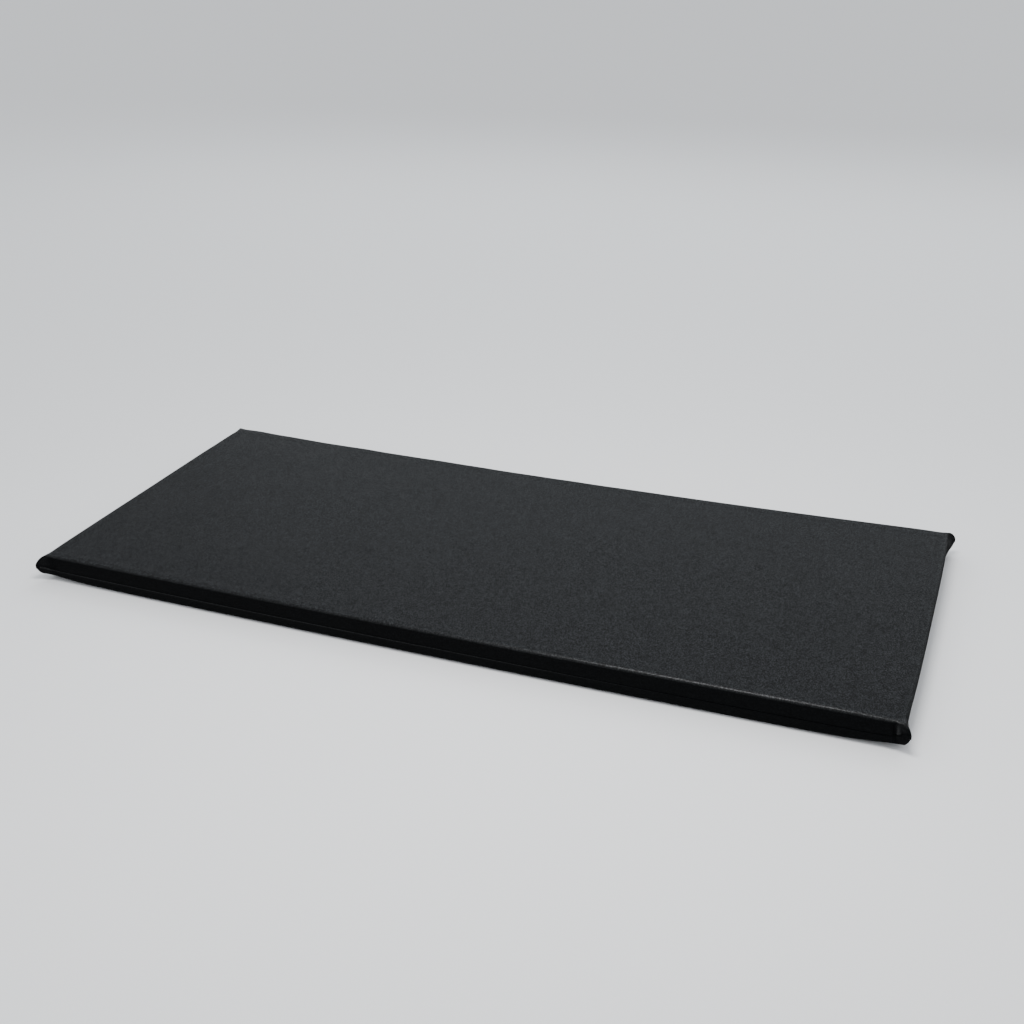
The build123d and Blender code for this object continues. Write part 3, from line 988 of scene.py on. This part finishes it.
# %% [markdown]
# ## Threads, zip and metal
# The zip, its slider and the pull tab keep their CAD shapes, because they move or are moved along, and get
# the finishes of the real things: a fine woven tape, moulded teeth, and nickel-plated metal. The threads and
# overlocked edges of the two long seams run along bowed sides, so they are bars, crosscut and bowed as the
# cover is. At the straight left end they keep their CAD shapes.


# %% Thread, tape, teeth and metal
TWIST = 4200.0  # radians per metre, as are the next two: one turn in about 1.5 mm
RIBS = 6280.0  # 1 mm
PICKS = 9000.0  # 0.7 mm


def spun_thread():
    """Black polyester thread: a twist as a slanted stripe."""
    material, tree, shader = new_material("spun_thread")
    place = place_of(tree)
    x, y, z = split(place)
    twist = sine((x + y + z) * TWIST)
    fuzz = noise_of(place, 1500.0, 3.0, 0.7)
    tone = twist * 0.25 + 0.25 + fuzz * 0.5
    colour = blend_colours(tone, (0.004, 0.004, 0.005, 1), (0.022, 0.022, 0.024, 1))
    connect(tree, colour, shader.inputs["Base Color"])
    connect(tree, fuzz * 0.3 + 0.45, shader.inputs["Roughness"])
    connect(tree, bump_from(twist * 0.5 + fuzz * 0.3, 0.0001, 0.6), shader.inputs["Normal"])
    return material


def tape_weave():
    """Black woven zip tape: ribs along it and fine picks across."""
    material, tree, shader = new_material("tape_weave")
    place = place_of(tree)
    y, z = split(place)[1:]
    ribs = sine(z * RIBS)
    picks = sine(y * PICKS)
    fuzz = noise_of(place, 1200.0, 3.0, 0.7)
    tone = ribs * 0.2 + picks * 0.15 + fuzz * 0.5 + 0.2
    colour = blend_colours(tone, (0.003, 0.003, 0.004, 1), (0.016, 0.016, 0.018, 1))
    connect(tree, colour, shader.inputs["Base Color"])
    connect(tree, fuzz * 0.25 + 0.6, shader.inputs["Roughness"])
    connect(tree, bump_from(ribs * 0.5 + picks * 0.4, 0.00012, 0.7), shader.inputs["Normal"])
    return material


def moulded_teeth():
    """Black moulded plastic with a satin skin."""
    material, tree, shader = new_material("moulded_teeth")
    place = place_of(tree)
    skin = noise_of(place, 1800.0, 2.0)
    flow = noise_of(place, 150.0, 3.0)
    colour = blend_colours(flow, (0.005, 0.005, 0.006, 1), (0.014, 0.014, 0.015, 1))
    connect(tree, colour, shader.inputs["Base Color"])
    connect(tree, skin * 0.15 + flow * 0.1 + 0.25, shader.inputs["Roughness"])
    connect(tree, bump_from(skin, 0.00003, 0.4), shader.inputs["Normal"])
    return material


def plated_metal():
    """Nickel plating on a die casting: bright, with soft dents and fine rubbing."""
    material, tree, shader = new_material("plated_metal")
    place = place_of(tree)
    dents = noise_of(place, 220.0, 2.0)
    rubbing = noise_of(place, 2500.0, 3.0, 0.7)
    colour = blend_colours(rubbing, (0.32, 0.31, 0.30, 1), (0.55, 0.54, 0.53, 1))
    connect(tree, colour, shader.inputs["Base Color"])
    connect(tree, rubbing * 0.2 + dents * 0.1 + 0.2, shader.inputs["Roughness"])
    connect(tree, bump_from(dents + rubbing * 0.2, 0.00008, 0.5), shader.inputs["Normal"])
    shader.inputs["Metallic"].default_value = 1.0
    return material


thread_material = spun_thread()
finishes = {
    "zip_tape": tape_weave(),
    "zip_teeth": moulded_teeth(),
    "zip_metal": plated_metal(),
    "thread": thread_material,
}
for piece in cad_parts.values():
    for place in piece.material_slots:
        if place.material and place.material.name in finishes:
            place.material = finishes[place.material.name]

# %% The seam's threads, bowed with the sides
for node in ("seam_thread_front", "seam_thread_back", "seam_overlock_front", "seam_overlock_back"):
    low, high = (Vector(corner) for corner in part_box(node))
    shape = block(high - low, (low + high) / 2)
    round_off(shape, shape.edges[:], min(high.y - low.y, high.z - low.z) * 0.3, 2)
    crosscut(shape, low, (high.x, low.y, high.z), CUT_STEP)
    finish_soft(node + "_sewn", shape, thread_material, "thread", [node])


# %% [markdown]
# ### Topstitching beside the zip
# A row of stitches runs along each hem. One stitch is a short rounded bead of thread, sunk a little into
# the cloth. The beads are copies of the first, set out at the pitch the CAD rows have.

# %% Topstitching
STITCH_PITCH = 0.005
STITCH_LENGTH = 0.0038
STITCH_WIDTH = 0.0007
PROUD = 0.0001  # how far a bead's middle stands out past its CAD solid's inner face


def bead(size, middle):
    """One stitch: a rounded bead of thread of this size at this place."""
    shape = bmesh.new()
    bmesh.ops.create_cube(shape, size=1)
    round_off(shape, shape.edges[:], 0.3, 2)
    bmesh.ops.scale(shape, vec=size, verts=shape.verts)
    bmesh.ops.translate(shape, vec=middle, verts=shape.verts)
    return shape


def repeat(shape, steps):
    """Copy all that a shape has now, once at each of these steps away from it."""
    first = shape.verts[:] + shape.edges[:] + shape.faces[:]
    for step in steps:
        copied = bmesh.ops.duplicate(shape, geom=first)["geom"]
        verts = [item for item in copied if isinstance(item, bmesh.types.BMVert)]
        bmesh.ops.translate(shape, vec=step, verts=verts)


for node in ("zip_stitching_upper", "zip_stitching_lower"):
    low, high = (Vector(corner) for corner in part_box(node))
    count = round((high.y - low.y - STITCH_LENGTH) / STITCH_PITCH) + 1
    start = (low.x + PROUD, low.y + STITCH_LENGTH / 2, (low.z + high.z) / 2)
    shape = bead((STITCH_WIDTH, STITCH_LENGTH, STITCH_WIDTH), start)
    repeat(shape, [(0, n * STITCH_PITCH, 0) for n in range(1, count)])
    print(node, "stitches", count)
    finish_soft(node + "_sewn", shape, thread_material, "thread", [node])

# %% [markdown]
# ### Bartacks at the zip's ends
# A bartack is a short, dense bar of stitches across the end of an opening, so that pulling the slider hard
# doesn't tear it. Each is a stack of narrow beads that touch.

# %% Bartacks
TACK_PITCH = 0.0006
TACK_WIDTH = 0.0024
TACK_DEPTH = 0.0009
TACK_CROWDING = 1.15  # a bead is this much thicker than the pitch, so the beads touch

tack_count = round((tack_high.z - tack_low.z) / TACK_PITCH)
across_zip = tack_high.y - tack_low.y - TACK_WIDTH
start = (tack_low.x + PROUD, tack_low.y + TACK_WIDTH / 2, tack_low.z + TACK_PITCH / 2)
shape = bead((TACK_DEPTH, TACK_WIDTH, TACK_PITCH * TACK_CROWDING), start)
places = [(n // tack_count, n % tack_count) for n in range(1, 2 * tack_count)]
repeat(shape, [(0, across_zip * end, TACK_PITCH * row) for end, row in places])
print("bartack beads", 2 * tack_count)
finish_soft("zip_bartacks_sewn", shape, thread_material, "thread", ["zip_bartacks"])
